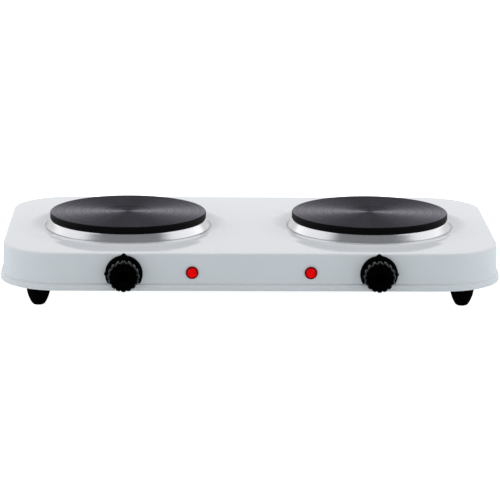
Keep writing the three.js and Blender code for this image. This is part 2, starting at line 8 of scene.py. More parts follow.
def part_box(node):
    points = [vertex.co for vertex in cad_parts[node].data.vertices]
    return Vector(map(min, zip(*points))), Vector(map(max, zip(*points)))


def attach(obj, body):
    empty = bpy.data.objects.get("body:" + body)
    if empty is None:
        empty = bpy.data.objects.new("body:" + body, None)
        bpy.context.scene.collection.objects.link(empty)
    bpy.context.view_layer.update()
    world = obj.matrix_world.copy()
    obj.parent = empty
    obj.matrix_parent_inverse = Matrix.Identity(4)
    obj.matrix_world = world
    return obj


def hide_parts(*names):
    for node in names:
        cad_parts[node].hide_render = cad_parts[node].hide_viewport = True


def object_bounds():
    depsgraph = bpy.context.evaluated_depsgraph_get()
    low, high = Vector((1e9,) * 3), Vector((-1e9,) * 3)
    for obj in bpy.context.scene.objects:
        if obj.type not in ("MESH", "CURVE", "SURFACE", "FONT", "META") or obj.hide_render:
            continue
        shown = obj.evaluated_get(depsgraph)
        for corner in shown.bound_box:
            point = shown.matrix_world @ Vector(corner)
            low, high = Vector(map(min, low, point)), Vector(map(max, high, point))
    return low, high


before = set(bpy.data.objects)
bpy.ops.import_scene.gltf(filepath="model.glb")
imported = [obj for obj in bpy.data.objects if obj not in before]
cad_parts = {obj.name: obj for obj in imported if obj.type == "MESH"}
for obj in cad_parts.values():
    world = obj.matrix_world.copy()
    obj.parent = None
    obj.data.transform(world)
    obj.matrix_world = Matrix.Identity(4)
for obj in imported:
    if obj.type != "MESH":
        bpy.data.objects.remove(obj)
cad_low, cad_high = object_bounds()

scene = bpy.context.scene


# ---------------------------------------------------------------- camera
# A long lens just above the level of the top, a touch to the left of the middle,
# looking slightly down at the front wall and the controls.

LENS_MM = 188.136
SENSOR_MM = 36.0
CAMERA_DISTANCE = 2.61455
CAMERA_AZIMUTH = math.radians(-1.269)
CAMERA_ELEVATION = math.radians(12.824)
CAMERA_ROLL = math.radians(0.444)
AIM_OFFSET = Vector((0.00132, 0.0052, -0.00438))

aim = (cad_low + cad_high) / 2 + AIM_OFFSET
towards_camera = Vector((
    math.sin(CAMERA_AZIMUTH) * math.cos(CAMERA_ELEVATION),
    -math.cos(CAMERA_AZIMUTH) * math.cos(CAMERA_ELEVATION),
    math.sin(CAMERA_ELEVATION),
))
camera = bpy.data.objects.new("camera", bpy.data.cameras.new("camera"))
camera.data.lens = LENS_MM
camera.data.sensor_width = SENSOR_MM
camera.data.clip_start = 0.1
camera.data.clip_end = 100
camera.rotation_mode = "QUATERNION"
camera.location = aim + towards_camera * CAMERA_DISTANCE
level_turn = (-towards_camera).to_track_quat("-Z", "Y")
camera.rotation_quaternion = level_turn @ Quaternion((0, 0, 1), CAMERA_ROLL)
scene.collection.objects.link(camera)
scene.camera = camera
scene.view_settings.view_transform = "Standard"


# ---------------------------------------------------------------- studio
# A white sweep: a floor that glows almost white, a horizon of the same white, a dim ceiling,
# a wide softbox at each side and a small hard lamp overhead that picks out the edges.

FLOOR_SIZE = 60
FLOOR_GAP = 0.0002
FLOOR_GLOW = 0.95
HORIZON_WHITE = (1.05, 1.05, 1.05, 1)
CEILING_GREY = (0.32, 0.33, 0.345, 1)
WHITE_ENDS = 0.28
GREY_STARTS = 0.45


def add_node(tree, kind, inputs=(), **settings):
    """Adds one shader node, sets it up, and links or fills the sockets that are named."""
    made = tree.nodes.new("ShaderNode" + kind)
    for name, value in settings.items():
        setattr(made, name, value)
    for socket, value in dict(inputs).items():
        if isinstance(value, bpy.types.NodeSocket):
            tree.links.new(value, made.inputs[socket])
        else:
            made.inputs[socket].default_value = value
    return made


def linear(code):
    """An sRGB hex colour as linear red, green, blue and alpha."""
    parts = [int(code[i:i + 2], 16) / 255 for i in (1, 3, 5)]
    return (*[p / 12.92 if p <= 0.04045 else ((p + 0.055) / 1.055) ** 2.4 for p in parts], 1)


floor_mesh = bmesh.new()
bmesh.ops.create_grid(floor_mesh, x_segments=1, y_segments=1, size=FLOOR_SIZE / 2)
bmesh.ops.translate(floor_mesh, verts=floor_mesh.verts, vec=(0, 0, -FLOOR_GAP))
floor = bpy.data.objects.new("floor", bpy.data.meshes.new("floor"))
floor_mesh.to_mesh(floor.data)
floor_mesh.free()
scene.collection.objects.link(floor)

floor_white = bpy.data.materials.new("pale_paper_sweep")
floor_white.use_nodes = True
tree = floor_white.node_tree
shader = tree.nodes["Principled BSDF"]
shader.inputs["Base Color"].default_value = linear("#e9f5f7")
shader.inputs["Roughness"].default_value = 0.9
shader.inputs["Specular IOR Level"].default_value = 0
shader.inputs["Emission Color"].default_value = (1, 1, 1, 1)
seen = add_node(tree, "LightPath").outputs["Is Camera Ray"]
lift = add_node(tree, "Math", {0: seen, 1: FLOOR_GLOW}, operation="MULTIPLY").outputs[0]
tree.links.new(lift, shader.inputs["Emission Strength"])
floor.data.materials.append(floor_white)

world = bpy.data.worlds.new("white_sweep")
world.use_nodes = True
tree = world.node_tree
direction = add_node(tree, "TexCoord").outputs["Generated"]
height = add_node(tree, "SeparateXYZ", {0: direction}).outputs["Z"]
climb = add_node(tree, "MapRange",
                 {"Value": height, "From Min": WHITE_ENDS, "From Max": GREY_STARTS},
                 interpolation_type="SMOOTHSTEP").outputs["Result"]
sky = add_node(tree, "Mix", {0: climb, 6: HORIZON_WHITE, 7: CEILING_GREY}, data_type="RGBA")
tree.links.new(sky.outputs[2], tree.nodes["Background"].inputs["Color"])
scene.world = world


def add_softbox(name, azimuth, elevation, distance, width, height, watts):
    """A rectangular light that faces the hotplate: angles in degrees, sizes in metres."""
    data = bpy.data.lights.new(name, "AREA")
    data.shape = "RECTANGLE"
    data.size, data.size_y = width, height
    data.energy = watts
    box = bpy.data.objects.new(name, data)
    a, e = math.radians(azimuth), math.radians(elevation)
    away = Vector((math.sin(a) * math.cos(e), -math.cos(a) * math.cos(e), math.sin(e)))
    box.location = away * distance
    box.rotation_mode = "QUATERNION"
    box.rotation_quaternion = away.to_track_quat("Z", "Y")
    box.visible_camera = False
    scene.collection.objects.link(box)


add_softbox("softbox_left", -106, 40, 1.3, 1.6, 1.1, 6.2)
add_softbox("softbox_right", 106, 40, 1.3, 1.6, 1.1, 6.6)
add_softbox("lamp_behind", 180, 80, 1.4, 0.14, 0.1, 1.5)


# ---------------------------------------------------------------- housing
# One pan of 0.8 mm steel, deep drawn with a beaded rim and a shallow dish round each plate,
# pierced for the controls, then coated inside and out with white vitreous enamel.

MM = 0.001
MERGE_DISTANCE = 0.001
SHEET = 0.8
CORNER_RADIUS = 59.0
CORNER_SEGMENTS = 28
# Each step of the bead: how far in from the rim, and how far up.
RIM_PROFILE = [(0.75, 0.0), (0.3, 0.18), (0.06, 0.6), (0.0, 1.1), (0.1, 1.55), (0.34, 1.95),
               (0.34, 2.2), (0.1, 2.6), (0.0, 3.1), (0.0, 3.7), (0.12, 4.3), (0.4, 4.9),
               (0.4, 5.2), (0.16, 5.6), (0.16, 5.9), (0.45, 6.2), (0.95, 6.3), (1.9, 6.34),
               (2.28, 6.5), (2.4, 6.85), (2.4, 7.7)]
WALL_TOP_INSET = 2.9
TOP_FILLET = 1.7
FILLET_STEPS = 8
SHOULDER_WIDTH = 7.4
SHOULDER_DROP = 0.2
SHOULDER_STEPS = 6
DISH_HOLE_RADIUS = 76.0
DISH_FLOOR_RADIUS = 82.3
DISH_LEDGE_RADIUS = 83.1
DISH_CREST_RADIUS = 97.5
DISH_OUTER_RADIUS = 108.0
DISH_DEPTH = 2.0
DISH_LEDGE_DEPTH = 1.4
DISH_CREST_RISE = 0.3
DISH_STEPS = 8
DISH_SEGMENTS = 144
EDGE_TOLERANCE = 0.01
LAMP_HOLE = 4.5
SHAFT_HOLE = 4.3
SCREW_HOLE = 2.1
GLAND_HOLE = 6.3
THERMOSTAT_SCREW_X = 8.6
WALL_BAND = 10


def node_centre(node):
    """The middle of a CAD node's box, in millimetres."""
    low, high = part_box(node)
    return (low + high) / 2 / MM


def link_rings(bm, rings):
    """Skins a run of edge loops, each to the next."""
    for lower, upper in zip(rings, rings[1:]):
        bmesh.ops.bridge_loops(bm, edges=lower + upper)


def finish_piece(name, bm, material, body, replaces, place=Matrix(), crease=38):
    """Makes a millimetre mesh a piece in metres that rides on a body and replaces CAD nodes."""
    bmesh.ops.transform(bm, matrix=Matrix.Scale(MM, 4) @ place, verts=bm.verts)
    for edge in bm.edges:
        edge.smooth = edge.is_manifold and edge.calc_face_angle() < math.radians(crease)
    for face in bm.faces:
        face.smooth = True
    piece = bpy.data.objects.new(name, bpy.data.meshes.new(name))
    bm.to_mesh(piece.data)
    bm.free()
    piece.data.materials.append(material)
    weighted = piece.modifiers.new("face_weighted_normals", "WEIGHTED_NORMAL")
    weighted.keep_sharp = True
    scene.collection.objects.link(piece)
    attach(piece, body)
    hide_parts(*replaces)


def pattern_scale(size):
    """The scale that makes one cell of a pattern a size in millimetres."""
    return 1 / (size * MM)


def start_material(name, **values):
    """A new material with its even values set, its nodes, its shader and the object's place."""
    material = bpy.data.materials.new(name)
    material.use_nodes = True
    tree = material.node_tree
    shader = tree.nodes["Principled BSDF"]
    for socket, value in values.items():
        shader.inputs[socket.replace("_", " ")].default_value = value
    return material, tree, shader, add_node(tree, "TexCoord").outputs["Object"]


# Vitreous enamel: glass fused on steel, smooth and evenly white, with the faint orange peel of a
# fired coat 5 mm across, broad soft clouds and a sparse scatter of fine grey specks.
enamel, tree, shader, place = start_material("white_vitreous_enamel",
                                             IOR=1.5, Specular_IOR_Level=0.09)
peel = add_node(tree, "TexNoise",
                {"Vector": place, "Scale": pattern_scale(5.26), "Detail": 1.0,
                 "Roughness": 0.4}).outputs[0]
cloud = add_node(tree, "TexNoise",
                 {"Vector": place, "Scale": pattern_scale(71.4), "Detail": 2.0}).outputs[0]
specks = add_node(tree, "TexNoise",
                  {"Vector": place, "Scale": pattern_scale(0.714), "Detail": 1.0}).outputs[0]
speck_mask = add_node(tree, "MapRange",
                      {"Value": specks, "From Min": 0.70, "From Max": 0.78}).outputs["Result"]
body_white = add_node(tree, "Mix", {0: cloud, 6: linear("#e4e6e9"), 7: linear("#e8eaed")},
                      data_type="RGBA").outputs[2]
speckled = add_node(tree, "Mix", {0: speck_mask, 6: body_white, 7: linear("#d0d3d7")},
                    data_type="RGBA").outputs[2]
gloss = add_node(tree, "MapRange",
                 {"Value": cloud, "To Min": 0.05, "To Max": 0.09}).outputs["Result"]
waves = add_node(tree, "Bump",
                 {"Height": peel, "Strength": 0.06, "Distance": 0.0001}).outputs["Normal"]
tree.links.new(speckled, shader.inputs["Base Color"])
tree.links.new(gloss, shader.inputs["Roughness"])
tree.links.new(waves, shader.inputs["Normal"])

housing_low, housing_high = (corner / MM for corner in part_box("housing"))
housing_centre = (housing_low + housing_high) / 2
half_width, half_depth = (housing_high - housing_low).x / 2, (housing_high - housing_low).y / 2
rim_z, top_z = housing_low.z, housing_high.z

pan = bmesh.new()


def add_outline(inset, z):
    """The pan's plan outline, moved in from the rim, at a height: its edges, with no face."""
    corners = bmesh.ops.create_grid(pan, x_segments=1, y_segments=1, size=1)["verts"]
    bmesh.ops.scale(pan, vec=(half_width - inset, half_depth - inset, 1), verts=corners)
    rounded = bmesh.ops.bevel(pan, geom=corners, offset=CORNER_RADIUS - inset,
                              segments=CORNER_SEGMENTS, profile=0.5, affect="VERTICES",
                              material=-1)
    face = rounded["verts"][0].link_faces[0]
    loop = list(face.edges)
    bmesh.ops.translate(pan, vec=(0, housing_centre.y, z), verts=face.verts)
    bmesh.ops.delete(pan, geom=[face], context="FACES_ONLY")
    return loop


def fill_flat(edges):
    """Fills a flat region that has openings in it."""
    bmesh.ops.triangle_fill(pan, use_beauty=True, edges=edges)


rim_rings = [add_outline(inset, rim_z + rise) for inset, rise in RIM_PROFILE]

# The top falls away a little all round before it turns down into the wall.
shoulder_slope = math.atan(2 * SHOULDER_DROP / SHOULDER_WIDTH)
fillet_end = math.pi / 2 - shoulder_slope
fillet_z = top_z - SHOULDER_DROP - TOP_FILLET * math.sin(fillet_end)
fillet_rings = []
for step in range(FILLET_STEPS + 1):
    angle = fillet_end * step / FILLET_STEPS
    fillet_rings.append(add_outline(WALL_TOP_INSET + TOP_FILLET * (1 - math.cos(angle)),
                                    fillet_z + TOP_FILLET * math.sin(angle)))
shoulder_inset = WALL_TOP_INSET + TOP_FILLET * (1 - math.cos(fillet_end))
shoulder_rings = []
for step in range(1, SHOULDER_STEPS + 1):
    across = step / SHOULDER_STEPS
    shoulder_rings.append(add_outline(shoulder_inset + SHOULDER_WIDTH * across,
                                      top_z - SHOULDER_DROP * (1 - across) ** 2))
link_rings(pan, rim_rings + fillet_rings + shoulder_rings)

# The flat top is filled round the two dishes, whose profile is spun about each plate's axis:
# a floor for the spill ring, a ledge round its foot, a soft rise to a low crest, and a fall back
# to the flat.
dish_profile = [(DISH_HOLE_RADIUS, -DISH_DEPTH)]
for start, end, low, high in (
    (DISH_FLOOR_RADIUS, DISH_LEDGE_RADIUS, -DISH_DEPTH, -DISH_LEDGE_DEPTH),
    (DISH_LEDGE_RADIUS, DISH_CREST_RADIUS, -DISH_LEDGE_DEPTH, DISH_CREST_RISE),
    (DISH_CREST_RADIUS, DISH_OUTER_RADIUS, DISH_CREST_RISE, 0),
):
    for step in range(DISH_STEPS + 1):
        across = step / DISH_STEPS
        eased = across * across * (3 - 2 * across)
        dish_profile.append((start + (end - start) * across, low + (high - low) * eased))
dish_edges = []
for side in ("left", "right"):
    middle = node_centre(f"cooking_plate_{side}")
    line = [pan.verts.new((middle.x + radius, middle.y, top_z + rise))
            for radius, rise in dish_profile]
    edges = [pan.edges.new(pair) for pair in zip(line, line[1:])]
    bmesh.ops.spin(pan, geom=line + edges, cent=(middle.x, middle.y, 0), axis=(0, 0, 1),
                   dvec=(0, 0, 0), angle=math.tau, steps=DISH_SEGMENTS, use_merge=True)
    dish_edges += [edge for edge in pan.edges if edge.is_boundary and all(
        abs((vert.co.xy - middle.xy).length - DISH_OUTER_RADIUS) < EDGE_TOLERANCE
        for vert in edge.verts)]
fill_flat(shoulder_rings[-1] + dish_edges)

# The flat of the front and rear walls is opened and filled again round the holes pierced in it:
# for the front wall (-1) and the rear wall (1), each hole's x, z, radius and number of sides.
wall_low_z, wall_high_z = rim_z + RIM_PROFILE[-1][1], fillet_z
wall_low_inset = RIM_PROFILE[-1][0]
hole_places = {-1: [], 1: [(0, node_centre("cable_gland").z, GLAND_HOLE, 40)]}
for side in ("left", "right"):
    lens = node_centre(f"lamp_lens_{side}")
    shaft = node_centre(f"thermostat_shaft_{side}")
    hole_places[-1] += [(shaft.x, shaft.z, SHAFT_HOLE, 24), (lens.x, lens.z, LAMP_HOLE, 32)]
    hole_places[-1] += [(shaft.x + end * THERMOSTAT_SCREW_X, shaft.z, SCREW_HOLE, 16)
                        for end in (-1, 1)]
for end, holes in hole_places.items():
    flat = []
    for face in pan.faces:
        middle = face.calc_center_median()
        is_wall = (middle.y - housing_centre.y) * end > half_depth - WALL_BAND
        is_central = abs(middle.x) < EDGE_TOLERANCE
        if is_wall and is_central and wall_low_z < middle.z < wall_high_z:
            flat.append(face)
    edges = list({edge for face in flat for edge in face.edges})
    bmesh.ops.delete(pan, geom=flat, context="FACES_ONLY")
    for x, z, radius, segments in holes:
        turned = Matrix.Translation((x, 0, z)) @ Matrix.Rotation(math.pi / 2, 4, "X")
        verts = bmesh.ops.create_circle(pan, radius=radius, segments=segments,
                                        matrix=turned)["verts"]
        for vert in verts:
            rise = (vert.co.z - wall_low_z) / (wall_high_z - wall_low_z)
            inset = wall_low_inset + rise * (WALL_TOP_INSET - wall_low_inset)
            vert.co.y = housing_centre.y + end * (half_depth - inset)
        edges += list({edge for vert in verts for edge in vert.link_edges})
    fill_flat(edges)

bmesh.ops.remove_doubles(pan, verts=pan.verts, dist=MERGE_DISTANCE)
bmesh.ops.recalc_face_normals(pan, faces=pan.faces)
bmesh.ops.solidify(pan, geom=pan.faces[:], thickness=SHEET)
finish_piece("enamelled_pan", pan, enamel, "hotplate_body", ["housing"])


# ---------------------------------------------------------------- cooking plates
# Grey iron castings, turned on a lathe so that fine rings run round the face, then blackened and
# heat cured. The middle is a little lower, and a thick lip overhangs the spill ring.

PLATE_STEPS = 160
SPIN_MERGE_DISTANCE = 0.0005
RING_PITCH = 1.5
RING_DEPTH = 0.03
RINGS_END_SHORT = 1.0
SKIN_STARTS = 76.8 * MM
SKIN_ENDS = 77.2 * MM
PLATE_MIDDLE = [(0.0, -0.25), (11.5, -0.25), (21.6, -0.25), (22.2, -0.22), (23.4, -0.03),
                (24.1, 0.0)]
PLATE_EDGE = [(76.2, 0.0), (76.8, -0.12), (77.25, -0.45), (77.5, -1.1), (77.5, -6.0),
              (77.3, -6.45), (76.8, -6.6), (74.2, -6.6), (73.4, -15.7), (69.4, -15.7),
              (69.4, -7.7), (13.0, -7.7), (13.0, -15.7), (3.2, -15.7), (3.2, -5.9), (0.0, -5.9)]


def spun(profile, steps):
    """A profile of (radius, height) turned once about the Z axis, closed and facing outwards."""
    bm = bmesh.new()
    line = [bm.verts.new((radius, 0, z)) for radius, z in profile]
    if profile[0][0] > 0:
        line.append(line[0])
    edges = [bm.edges.new(pair) for pair in zip(line, line[1:])]
    bmesh.ops.spin(bm, geom=list(dict.fromkeys(line)) + edges, cent=(0, 0, 0), axis=(0, 0, 1),
                   dvec=(0, 0, 0), angle=math.tau, steps=steps, use_merge=True)
    bmesh.ops.remove_doubles(bm, verts=bm.verts, dist=SPIN_MERGE_DISTANCE)
    bmesh.ops.recalc_face_normals(bm, faces=bm.faces)
    return bm


def from_axis(tree, place, centre):
    """The place measured level from a vertical axis through a point, in metres."""
    shift = (-centre.x * MM, -centre.y * MM, 0)
    moved = add_node(tree, "Mapping", {"Vector": place, "Location": shift})
    return add_node(tree, "VectorMath", {0: moved.outputs[0], 1: (1, 1, 0)},
                    operation="MULTIPLY").outputs[0]


for side in ("left", "right"):
    middle = node_centre(f"cooking_plate_{side}")
    # Blackened cast iron: a dark metallic face whose lathe rings stretch every reflection across
    # them, with fine pores and greyer patches; the lip's side keeps its dull black casting skin.
    # The real rings are about 0.5 mm apart and the pores finer still: they are drawn here about
    # 2 mm and 1 mm across so that they show.
    iron, tree, shader, place = start_material(
        f"turned_cast_iron_{side}", Anisotropic=0.9,
        Specular_Tint=linear("#f3f2f9"), Specular_IOR_Level=0.1)
    outwards = from_axis(tree, place, middle)
    radius = add_node(tree, "VectorMath", {0: outwards}, operation="LENGTH").outputs["Value"]
    ring_place = add_node(tree, "CombineXYZ", {"X": radius}).outputs[0]
    rings = add_node(tree, "TexNoise",
                     {"Vector": ring_place, "Scale": pattern_scale(2.08), "Detail": 2.0}).outputs[0]
    pores = add_node(tree, "TexNoise",
                     {"Vector": place, "Scale": pattern_scale(1.11), "Detail": 2.0}).outputs[0]
    patina = add_node(tree, "TexNoise",
                      {"Vector": place, "Scale": pattern_scale(22.2), "Detail": 3.0}).outputs[0]
    ring_tone = add_node(tree, "Mix", {0: rings, 6: linear("#1f1e24"), 7: linear("#312f38")},
                         data_type="RGBA").outputs[2]
    patches = add_node(tree, "MapRange", {"Value": patina, "To Max": 0.6}).outputs["Result"]
    tone = add_node(tree, "Mix", {0: patches, 6: ring_tone, 7: linear("#28262d")},
                    data_type="RGBA").outputs[2]
    skin = add_node(tree, "MapRange", {"Value": radius, "From Min": SKIN_STARTS,
                                       "From Max": SKIN_ENDS}).outputs["Result"]
    skinned = add_node(tree, "Mix", {0: skin, 6: tone, 7: linear("#050505")},
                       data_type="RGBA").outputs[2]
    tree.links.new(skinned, shader.inputs["Base Color"])
    metal = add_node(tree, "MapRange",
                     {"Value": skin, "To Min": 1.0, "To Max": 0.0}).outputs["Result"]
    tree.links.new(metal, shader.inputs["Metallic"])
    wear = add_node(tree, "Math", {0: rings, 1: pores}, operation="ADD").outputs[0]
    rough = add_node(tree, "MapRange", {"Value": wear, "From Min": 0.7, "From Max": 1.3,
                                        "To Min": 0.32, "To Max": 0.54}).outputs["Result"]
    dull = add_node(tree, "Mix", {0: skin, 2: rough, 3: 0.8}).outputs[0]
    tree.links.new(dull, shader.inputs["Roughness"])
    tree.links.new(outwards, shader.inputs["Tangent"])
    turned_bump = add_node(tree, "Bump", {"Height": rings, "Strength": 0.4, "Distance": 0.00012})
    pore_bump = add_node(tree, "Bump", {"Height": pores, "Strength": 0.15, "Distance": 0.00005,
                                        "Normal": turned_bump.outputs[0]})
    tree.links.new(pore_bump.outputs[0], shader.inputs["Normal"])

    rings_start = PLATE_MIDDLE[-1][0]
    ring_count = round((PLATE_EDGE[0][0] - RINGS_END_SHORT - rings_start) / RING_PITCH)
    lathe_rings = []
    for ring in range(ring_count):
        start = rings_start + ring * RING_PITCH
        lathe_rings += [(start + RING_PITCH / 2, -RING_DEPTH), (start + RING_PITCH, 0.0)]
    plate = spun(PLATE_MIDDLE + lathe_rings + PLATE_EDGE, PLATE_STEPS)
    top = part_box(f"cooking_plate_{side}")[1].z / MM
    finish_piece(f"turned_plate_{side}", plate, iron, "hotplate_body",
                 [f"cooking_plate_{side}"], Matrix.Translation((middle.x, middle.y, top)))


# ---------------------------------------------------------------- spill rings
# A thin stainless steel ring under each plate's lip, spun and brushed round its length,
# flared out to stand in the dish and lead boiled-over water away.

SPILL_PROFILE = [(74.8, 7.4), (74.8, 8.0), (76.5, 8.0), (77.1, 7.85), (77.6, 7.4), (78.2, 6.4),
                 (79.0, 5.0), (79.9, 3.5), (80.8, 2.0), (81.6, 0.65), (81.6, 0.45), (81.4, 0.3),
                 (81.1, 0.3), (80.1, 1.9), (79.2, 3.3), (78.3, 4.8), (77.5, 6.2), (76.9, 7.0),
                 (76.4, 7.4)]
SPILL_FOOT = 0.3
SPILL_STEPS = 160

for side in ("left", "right"):
    middle = node_centre(f"trim_ring_{side}")
    # Brushed stainless steel: fine scratches round the ring spread reflections up and down.
    # The real scratches are finer than 0.1 mm, drawn here 0.4 mm apart so that they show.
    steel, tree, shader, place = start_material(f"brushed_stainless_{side}",
                                                Metallic=1.0, Anisotropic=0.6)
    height = add_node(tree, "SeparateXYZ", {0: place}).outputs["Z"]
    outwards = from_axis(tree, place, middle)
    brush_place = add_node(tree, "CombineXYZ", {"X": height}).outputs[0]
    scratches = add_node(tree, "TexNoise",
                         {"Vector": brush_place, "Scale": pattern_scale(0.385),
                          "Detail": 3.0}).outputs[0]
    smudges = add_node(tree, "TexNoise",
                       {"Vector": place, "Scale": pattern_scale(16.7), "Detail": 3.0}).outputs[0]
    tone = add_node(tree, "Mix", {0: scratches, 6: linear("#b6b6b8"), 7: linear("#cacacd")},
                    data_type="RGBA").outputs[2]
    tree.links.new(tone, shader.inputs["Base Color"])
    rough = add_node(tree, "MapRange",
                     {"Value": smudges, "To Min": 0.23, "To Max": 0.27}).outputs["Result"]
    tree.links.new(rough, shader.inputs["Roughness"])
    around = add_node(tree, "VectorMath", {0: outwards, 1: (0, 0, 1)},
                      operation="CROSS_PRODUCT").outputs[0]
    surface = add_node(tree, "NewGeometry").outputs["Normal"]
    across = add_node(tree, "VectorMath", {0: surface, 1: around},
                      operation="CROSS_PRODUCT").outputs[0]
    tree.links.new(across, shader.inputs["Tangent"])
    brushed = add_node(tree, "Bump", {"Height": scratches, "Strength": 0.08, "Distance": 0.00003})
    tree.links.new(brushed.outputs[0], shader.inputs["Normal"])
    ring = spun(SPILL_PROFILE, SPILL_STEPS)
    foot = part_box(f"trim_ring_{side}")[0].z / MM - SPILL_FOOT
    finish_piece(f"spill_ring_{side}", ring, steel, "hotplate_body",
                 [f"trim_ring_{side}"], Matrix.Translation((middle.x, middle.y, foot)))


# ---------------------------------------------------------------- dial plates
# A flat black moulding fixed to the wall behind each knob, cut straight above the rim, with
# a pointed index at the top and a small tick at the outer side.

DIAL_RADIUS = 17.9
DIAL_THICKNESS = 2.2
DIAL_FLAT_DROP = 9.0
DIAL_SEGMENTS = 192
# The marks' half-angles are in radians.
INDEX_HALF_ANGLE = 0.17
INDEX_HEIGHT = 2.3
TICK_HALF_ANGLE = 0.07
TICK_HEIGHT = 0.95
DIAL_EDGE = 0.3
FACE_OUT = Matrix.Rotation(math.pi / 2, 4, "X")

# Matt ABS: a fine spark-eroded grain takes the shine off the black. The real grain is about
# 0.1 mm, drawn here 0.5 mm across so that it shows.
matt_black, tree, shader, place = start_material("matt_black_abs",
                                                 IOR=1.54, Specular_IOR_Level=0.03)
grain = add_node(tree, "TexNoise",
                 {"Vector": place, "Scale": pattern_scale(0.455), "Detail": 2.0}).outputs[0]
tone = add_node(tree, "Mix", {0: grain, 6: linear("#020203"), 7: linear("#060607")},
                data_type="RGBA").outputs[2]
rough = add_node(tree, "MapRange",
                 {"Value": grain, "To Min": 0.5, "To Max": 0.66}).outputs["Result"]
pitted = add_node(tree, "Bump", {"Height": grain, "Strength": 0.25, "Distance": 0.00005}).outputs[0]
tree.links.new(tone, shader.inputs["Base Color"])
tree.links.new(rough, shader.inputs["Roughness"])
tree.links.new(pitted, shader.inputs["Normal"])


def axis_place(node, back_y):
    """Turns a piece modelled face up to face forward, on a node's axis, its back at a depth."""
    centre = node_centre(node)
    return Matrix.Translation((centre.x, back_y, centre.z)) @ FACE_OUT


for side, sign in (("left", -1), ("right", 1)):
    dial = bmesh.new()
    bmesh.ops.create_circle(dial, radius=DIAL_RADIUS, segments=DIAL_SEGMENTS, cap_ends=True)
    for vert in dial.verts:
        angle = math.atan2(vert.co.y, vert.co.x)
        from_top = abs(angle - math.pi / 2)
        from_side = math.acos(max(-1, min(1, sign * vert.co.x / DIAL_RADIUS)))
        lift = max(0, 1 - from_top / INDEX_HALF_ANGLE) * INDEX_HEIGHT
        lift += math.sqrt(max(0, 1 - (from_side / TICK_HALF_ANGLE) ** 2)) * TICK_HEIGHT
        vert.co *= 1 + lift / DIAL_RADIUS
    bmesh.ops.bisect_plane(dial, geom=dial.verts[:] + dial.edges[:] + dial.faces[:],
                           plane_co=(0, -DIAL_FLAT_DROP, 0), plane_no=(0, -1, 0),
                           clear_outer=True)
    raised = bmesh.ops.extrude_face_region(dial, geom=dial.faces[:])["geom"]
    front = [part for part in raised if isinstance(part, bmesh.types.BMVert)]
    bmesh.ops.translate(dial, vec=(0, 0, DIAL_THICKNESS), verts=front)
    rim = [part for part in raised if isinstance(part, bmesh.types.BMEdge)]
    bmesh.ops.bevel(dial, geom=rim, offset=DIAL_EDGE, segments=2, profile=0.5,
                    affect="EDGES", material=-1)
    bmesh.ops.recalc_face_normals(dial, faces=dial.faces)
    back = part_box(f"dial_plate_{side}")[1].y / MM
    finish_piece(f"dial_disc_{side}", dial, matt_black, "hotplate_body",
                 [f"dial_plate_{side}"], axis_place(f"thermostat_shaft_{side}", back))


# ---------------------------------------------------------------- knobs
# A phenolic moulding, pressed on the thermostat's spindle and turning with it: sixteen tapering
# lobes for the fingers, a rounded front edge, a flat face, and a hollow back with a boss.

LOBES = 16
STEPS_PER_LOBE = 10
LOBE_FULLNESS = 0.55
# Each level of the outside: its height, and its radius at the lobes' tips and in the valleys.
KNOB_LEVELS = [(0.0, 15.45, 14.1), (0.25, 15.6, 14.15), (9.8, 15.15, 13.6), (10.8, 14.9, 13.45),
               (11.7, 14.4, 13.2), (12.4, 13.7, 12.85), (12.8, 13.1, 12.5), (12.97, 12.5, 12.2),
               (13.0, 12.0, 11.9)]
KNOB_FACE = [(13.0, 11.0), (13.0, 5.0)]
KNOB_HOLLOW = [(0.0, 13.2), (0.3, 12.6), (9.6, 12.3), (10.0, 11.9), (10.0, 5.4), (9.6, 5.0),
               (0.6, 4.9), (0.3, 4.6), (0.3, 3.3), (10.0, 3.3)]
# How far behind the front the face's painted shade holds, and how far back it has faded out.
FACE_SHADE_DEPTH = 0.2 * MM
FULL_REFLECTION_DEPTH = 1.2 * MM


def add_lobed_ring(bm, z, tip, valley):
    """A loop whose radius swings from tip to valley once for each lobe."""
    verts = bmesh.ops.create_circle(bm, radius=1, segments=LOBES * STEPS_PER_LOBE)["verts"]
    for vert in verts:
        swing = abs(math.cos(math.atan2(vert.co.y, vert.co.x) * LOBES / 2)) ** LOBE_FULLNESS
        vert.co *= valley + (tip - valley) * swing
    bmesh.ops.translate(bm, vec=(0, 0, z), verts=verts)
    return list(dict.fromkeys(edge for vert in verts for edge in vert.link_edges))


# Glossy phenolic: deep black with a soft moulded skin and fine flow lines. The reflections on the
# flat of the face are tinted dark as painted shade; behind the front edge the tint fades to white,
# so the lobes reflect in full.
# The skin's real grain is about 0.1 mm, drawn here 0.6 mm across so that it shows.
phenolic, tree, shader, place = start_material("black_phenolic", IOR=1.6, Specular_IOR_Level=0.2)
face_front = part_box("knob_left")[0].y
depth = add_node(tree, "SeparateXYZ", {"Vector": place}).outputs["Y"]
